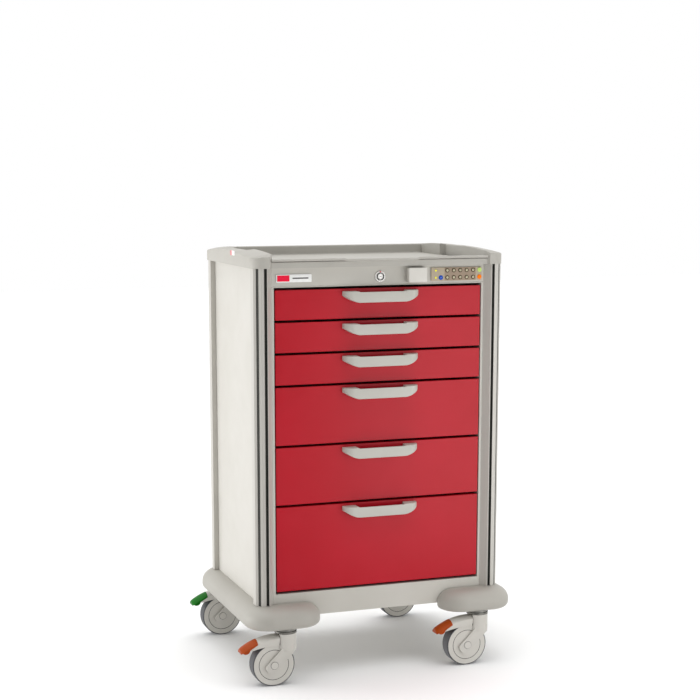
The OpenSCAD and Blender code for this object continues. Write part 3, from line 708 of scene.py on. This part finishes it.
# The same film with a darker print behind the digits.
grain = noise(tree, 2.0)
close_up(tree, shades(tree, grain, "#9c8873", "#a18d78"), spread(tree, grain, 0.45, 0.55), grain, 0.02)
pad_z = (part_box("key_1")[0].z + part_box("key_6")[1].z) / 2 / MM
pad_x = cart_x + 222.0
piece("keypad_frame", plate((pad_x, pad_z - 0.4), 74.5, 18.2, face_y, face_y - 2.6, 2.0), film, "cart",
      edge_mm=0.6)
digits_x = (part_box("key_1")[0].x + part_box("key_5")[1].x) / 2 / MM
piece("keypad_field", plate((digits_x, pad_z), 46.0, 17.4, face_y - 2.5, face_y - 2.9, 1.0),
      film_field, "cart")


def plain(name, dark, light, gloss, glow=0.0):
    """A small moulded part in one colour, with the slight unevenness of its pigment."""
    material, tree = surface(name)
    pigment = noise(tree, 3.0)
    settings = {"Specular IOR Level": 0.12}
    if glow:
        settings.update({"Emission Color": linear(light), "Emission Strength": glow})
    close_up(tree, shades(tree, pigment, dark, light), spread(tree, pigment, gloss, gloss + 0.06),
             pigment, 0.02, settings)
    return material


key_ring = plain("moulded_silicone_brown", "#42351c", "#4b3d22", 0.5)
key_centre = plain("moulded_silicone_cream", "#cdc5a8", "#d6ceb2", 0.45)
key_blue = plain("moulded_silicone_blue", "#0646ae", "#0a4eba", 0.35)
key_green = plain("moulded_silicone_green", "#bfdc78", "#c9e684", 0.35)
key_orange = plain("moulded_silicone_orange", "#ff7c00", "#ff8604", 0.35)
lamp_lens = plain("polycarbonate_lens_yellow", "#e0e000", "#ecec10", 0.2, 0.35)
print_ink = plain("printed_ink_dark", "#4a4030", "#544a38", 0.5)
print_white = plain("printed_ink_white", "#e8ecf2", "#f2f5f9", 0.5)


digit_key_r = 5.6
wide_key_r = 6.1
key_print_out = 4.6   # how far the print stands out from the header


def key_shape(node, radius):
    """A round key with a raised rim and a shallow dish, on the place of its CAD node."""
    low, high = (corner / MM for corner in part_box(node))
    place = ((low.x + high.x) / 2, face_y, (low.z + high.z) / 2)
    rim = [(radius, 1.6), (radius, 3.8), (radius - 0.5, 4.4), (radius - 1.6, 4.5), (radius - 2.2, 4.1)]
    dish = [(radius - 3.4, 4.3), (0.01, 4.6)]
    return place, turned(rim + dish + [(0.01, 1.6)], place, (0, -1, 0), 32)


def glyph(name, text, size, place, material, body):
    """Raised print on a key: a digit or a plain bar."""
    curve = bpy.data.curves.new(name, "FONT")
    curve.body = text
    curve.size = size * MM
    curve.extrude = 0.15 * MM
    curve.align_x = "CENTER"
    curve.align_y = "CENTER"
    holder = bpy.data.objects.new(name + "_curve", curve)
    bpy.context.scene.collection.objects.link(holder)
    bpy.context.view_layer.update()
    mesh = bpy.data.meshes.new_from_object(holder)
    bpy.data.objects.remove(holder)
    mesh.transform(Matrix.Translation(Vector(place) * MM) @ Matrix.Rotation(math.pi / 2, 4, "X"))
    mesh.materials.clear()
    mesh.materials.append(material)
    made = bpy.data.objects.new(name, mesh)
    bpy.context.scene.collection.objects.link(made)
    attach(made, body)


for digit in "1234567890":
    node = f"key_{digit}"
    place, shape = key_shape(node, digit_key_r)
    button = piece(f"{node}_button", shape, key_ring, node)
    button.data.materials.append(key_centre)
    for face in button.data.polygons:
        flat = (face.center / MM - Vector(place))
        if math.hypot(flat.x, flat.z) < 3.0 and flat.y < -3.5:
            face.material_index = 1
    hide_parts(node)
    print_place = (place[0], place[1] - key_print_out, place[2])
    glyph(f"{node}_digit", digit, 4.6, print_place, print_ink, node)

for node, material, slot, ink, mark, mark_size in (
        ("key_function", key_blue, "key_blue", print_white, "I", 6.0),
        ("key_enter", key_green, "key_green", print_ink, "-", 9.0),
        ("key_cancel", key_orange, "key_orange", print_ink, "-", 9.0)):
    place, shape = key_shape(node, wide_key_r)
    button = piece(f"{node}_button", shape, material, node)
    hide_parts(node)
    print_place = (place[0], place[1] - key_print_out, place[2])
    glyph(f"{node}_mark", mark, mark_size, print_place, ink, node)

lamp = [(0.01, 2.0), (2.3, 2.0), (2.3, 3.0), (1.8, 3.6), (0.9, 3.9), (0.01, 4.0)]
lamp_x = cart_x + 160.7
lamp_lift = 5.7
lamps = joined([turned(lamp, (lamp_x, face_y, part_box(node)[0].z / MM + lamp_lift), (0, -1, 0), 24)
                for node in ("key_1", "key_6")])
piece("status_lamps", lamps, lamp_lens, "cart")

# ---- Casters ----
# A plated stem and collar are bolted under each outrigger. A moulded nylon fork turns
# on the stem and carries the wheel's covers, the tread band and the brake pedal.
dress("caster_stems", zinc, 0.8)
caster_nylon = moulded_polymer("moulded_nylon_caster_grey", "#c6c3bb", "#ccc9c2", 0.36, 0.46, 2.0)
cover_polymer = moulded_polymer("moulded_polypropylene_cover_grey", "#c9c6be", "#cfccc5", 0.4, 0.5, 2.0)

tread, tree = surface("cast_polyurethane_tread")
# Dense grey rubbery tread, scuffed dull: fine wear marks and dust.
scuffs = noise(tree, 7.0, 5.0)
close_up(tree, shades(tree, scuffs, "#4c4d50", "#5c5d60"), spread(tree, scuffs, 0.5, 0.68),
         noise(tree, 1.5), 0.08)
pedal_orange = moulded_polymer("moulded_nylon_orange", "#9c3c00", "#a84400", 0.4, 0.48, 2.0, 0.2)
pedal_green = moulded_polymer("moulded_nylon_green", "#006303", "#016c06", 0.4, 0.48, 2.0, 0.2)

# The pedal's arm is a domed channel, bent round a large arc, that straddles the wheel.
# All lengths run from the swivel axis.
arm_r = 180.0
arm_centre = (-25.0, -39.6)
dome_r = 32.7
arm_half = 22.0
arm_wall = 2.6
arm_from = -21.9
arm_rake = 2.0
skirt_r = 290.0
skirt_centre = (-30.0, -177.2)
toe_r = 12.5
toe_centre = (-117.5, 109.0)
toe_from = -84.0
toe_to = -129.6
toe_tip_r = 8.0
toe_under_to = -105.0
toe_under_from = (-80.0, 121.9)
toe_under_slope = 0.592
arm_to = -103.0
trail = 39.0         # from the swivel axis back to the axle


def dome_drop(y):
    """How far the dome falls from its ridge at y."""
    return dome_r - math.sqrt(dome_r ** 2 - y ** 2)


def arm_top(x, y, inset=0.0):
    """Height of the arm's skin at x, y."""
    return arm_centre[1] + math.sqrt((arm_r - inset - dome_drop(y)) ** 2 - (x - arm_centre[0]) ** 2)


def arm_low(x):
    """Height of the skirt's lower edge at x."""
    return skirt_centre[1] + math.sqrt(skirt_r ** 2 - (x - skirt_centre[0]) ** 2)


def across(half_width, steps=10):
    """Places across the arm, from one side to the other."""
    return [half_width * (2 * i / steps - 1) for i in range(steps + 1)]


def arm_shape():
    """The arm as a closed shell, from the fork to under the toe."""
    rings = []
    for i in range(25):
        x = arm_from + (arm_to - arm_from) * i / 24
        foot = x - arm_rake * (1 - i / 24)
        low = arm_low(foot)
        inner = arm_half - arm_wall
        ring = [(foot, -arm_half, low)] + [(x, y, arm_top(x, y)) for y in across(arm_half)]
        ring += [(foot, arm_half, low), (foot, inner, low)]
        ring += [(x, -y, arm_top(x, y, arm_wall)) for y in across(inner)] + [(foot, -inner, low)]
        rings.append(ring)
    return loft(rings)


def toe_shape():
    """The solid toe that caps the end of the arm, a little proud of it."""
    proud = 0.4
    rings = []
    for i in range(33):
        x = toe_from + (toe_to - toe_from) * math.sin(math.pi / 2 * i / 32)
        left = x - toe_to
        half_width = arm_half + proud - toe_tip_r
        half_width += math.sqrt(max(toe_tip_r ** 2 - max(toe_tip_r - left, 0) ** 2, 0.01))
        if x > toe_under_to:
            low = toe_under_from[1] + toe_under_slope * (x - toe_under_from[0])
        else:
            low = toe_centre[1] - math.sqrt(max(toe_r ** 2 - (x - toe_centre[0]) ** 2, 0))
        half_width = min(half_width, arm_half + proud)
        tops = [(y, arm_top(x, y * arm_half / half_width) + proud) for y in across(half_width)]
        low = min(low, min(z for _, z in tops) - 0.3)
        rings.append([(x, -half_width, low)] + [(x, y, z) for y, z in tops] + [(x, half_width, low)])
    return loft(rings)


arm_points, arm_faces = arm_shape()
toe_points, toe_faces = toe_shape()

# Dark rings of painted shade in the wheel covers' grooves, caps on the axle's ends with a dark ring of painted
# shade in the gap round each, and two dark rings of painted shade in the grooves of the swivel bearing's
# collar.
axle = Vector((-trail, 0.0, 59.0))
groove_shade_ring = [(42.1, 0), (42.1, 0.9), (41.4, 1.1), (40.7, 0.9), (40.7, 0)]
axle_cap = [(0.01, -1.0), (10.0, -1.0), (10.0, 1.0), (9.2, 1.7), (0.01, 2.0)]
# A dark ring of painted shade in the gap round each axle cap.
axle_gap_shade_ring = [(10.9, -0.4), (10.9, 0.35), (9.9, 0.35), (9.9, -0.4)]
# Dark rings of painted shade in the collar's grooves.
collar_shade_ring = [(30.15, -0.7), (30.15, 0.7), (28.5, 0.7), (28.5, -0.7)]
wheel_half = 18.5
leg_out = 25.7
groove_painted_shade = joined([turned(groove_shade_ring, axle + Vector((0, side * (wheel_half - 1.0), 0)), (0, side, 0), 72)
                       for side in (-1, 1)])
axle_caps = joined([turned(axle_cap, axle + Vector((0, side * leg_out, 0)), (0, side, 0), 40)
                    for side in (-1, 1)])
axle_gap_shade_rings = joined([turned(axle_gap_shade_ring, axle + Vector((0, side * leg_out, 0)), (0, side, 0), 40)
                   for side in (-1, 1)])
collar_painted_shade = joined([turned(collar_shade_ring, (0, 0, z), (0, 0, 1), 64) for z in (144.2, 149.2)])


def at_swivel(shape, x, y):
    """A shape given from the swivel axis, moved to a caster."""
    return [(x + px, y + py, pz) for px, py, pz in shape[0]], shape[1]


for corner in ("front_left", "front_right", "rear_left", "rear_right"):
    name = f"caster_{corner}"
    dress(f"{name}_fork", caster_nylon, 1.4)
    dress(f"{name}_hub", cover_polymer, 0.5)
    dress(f"{name}_tyre", tread, 0.3)
    wheel_low, wheel_high = (corner_point / MM for corner_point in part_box(f"{name}_hub"))
    stem_x = (wheel_low.x + wheel_high.x) / 2 + trail
    stem_y = (wheel_low.y + wheel_high.y) / 2
    arm = piece(f"{name}_pedal_arm", at_swivel((arm_points, arm_faces), stem_x, stem_y), caster_nylon,
                f"{name}_brake", sharp=30, edge_mm=0.7)
    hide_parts(f"{name}_pedal")
    green = corner == "rear_left"
    piece(f"{name}_pedal_toe", at_swivel((toe_points, toe_faces), stem_x, stem_y),
          pedal_green if green else pedal_orange, f"{name}_brake",
          sharp=35, edge_mm=1.5)
    # Painted shade: a dark ring in each cover's groove.
    piece(f"{name}_groove_painted_shade", at_swivel(groove_painted_shade, stem_x, stem_y), dark_rubber_print_and_shade, f"{name}_wheel")
    piece(f"{name}_axle_caps", at_swivel(axle_caps, stem_x, stem_y), cover_polymer, f"{name}_swivel")
    # Painted shade in the gap round each axle cap.
    piece(f"{name}_axle_gap_painted_shade", at_swivel(axle_gap_shade_rings, stem_x, stem_y), dark_rubber_print_and_shade, f"{name}_swivel")
    # Painted shade: dark rings in the collar's grooves.
    piece(f"{name}_collar_painted_shade", at_swivel(collar_painted_shade, stem_x, stem_y), dark_rubber_print_and_shade, "cart")
